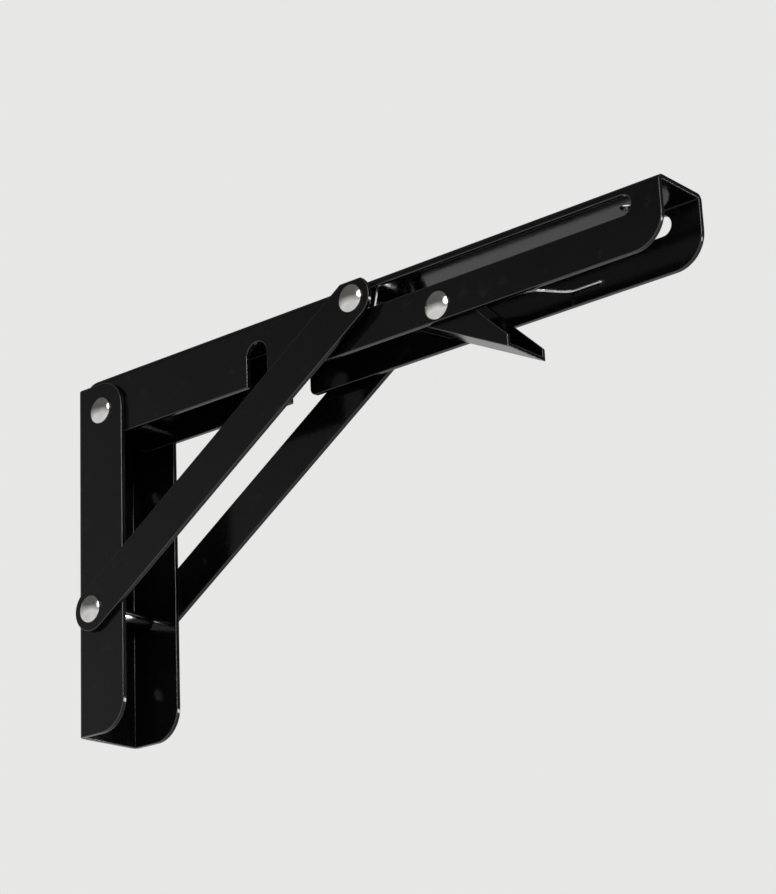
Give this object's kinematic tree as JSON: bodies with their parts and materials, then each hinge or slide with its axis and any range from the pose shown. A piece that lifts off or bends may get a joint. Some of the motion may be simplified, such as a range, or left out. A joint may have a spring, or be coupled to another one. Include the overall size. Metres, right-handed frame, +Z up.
{
  "type": "folding shelf bracket",
  "caption": "Folding bracket for a drop leaf table: a wall channel carries a shelf arm held level by side struts, and a sprung lever releases it to fold flat against the wall.",
  "frame": {"origin": "middle of the wall screw pattern, on the wall face of the wall channel", "axes": "+X across the bracket to the side with the spring hook, -Y away from the wall along the arm, +Z up along the wall channel"},
  "size_m": [0.0422, 0.3, 0.155],
  "materials": {
    "black_paint": "satin",
    "nickel": "polished",
    "spring_steel": "satin"
  },
  "bodies": {
    "wall": {"wall_channel": "black_paint", "corner_rivet": "nickel", "strut_rivet": "nickel", "strut_sleeve": "nickel"},
    "arm": {"shelf_arm": "black_paint", "lever_rivet": "nickel", "lever_spring": "spring_steel"},
    "struts": {"left_strut": "black_paint", "right_strut": "black_paint", "left_strut_stud": "nickel", "right_strut_stud": "nickel"},
    "slide": {"slide_pin": "nickel", "left_slide_washer": "nickel", "right_slide_washer": "nickel"},
    "lever": {"release_lever": "black_paint"}
  },
  "joints": [
    {"name": "arm_fold", "type": "hinge", "parent": "wall", "child": "arm", "pos_m": [0, -0.0143, 0.0702], "axis": [1, 0, 0], "range_deg": [0, 90]},
    {"name": "strut_swing", "type": "hinge", "parent": "wall", "child": "struts", "pos_m": [0, -0.01, -0.0166], "axis": [1, 0, 0], "range_deg": [0, 118.79]},
    {"name": "pin_slide", "type": "slide", "parent": "arm", "child": "slide", "axis": [0, -1, 0], "range_m": [0, 0.11858]},
    {"name": "lever_press", "type": "hinge", "parent": "arm", "child": "lever", "pos_m": [0, -0.196, 0.065], "axis": [-1, 0, 0], "range_deg": [0, 25], "stiffness_Nm_per_rad": 0.12, "springref_deg": -34.38, "deforming": ["lever_spring"]}
  ],
  "couplings": [
    {"joint": "strut_swing", "follows": "arm_fold", "ratio": 1.3198},
    {"joint": "pin_slide", "follows": "arm_fold", "m_per_rad": 0.075493}
  ]
}
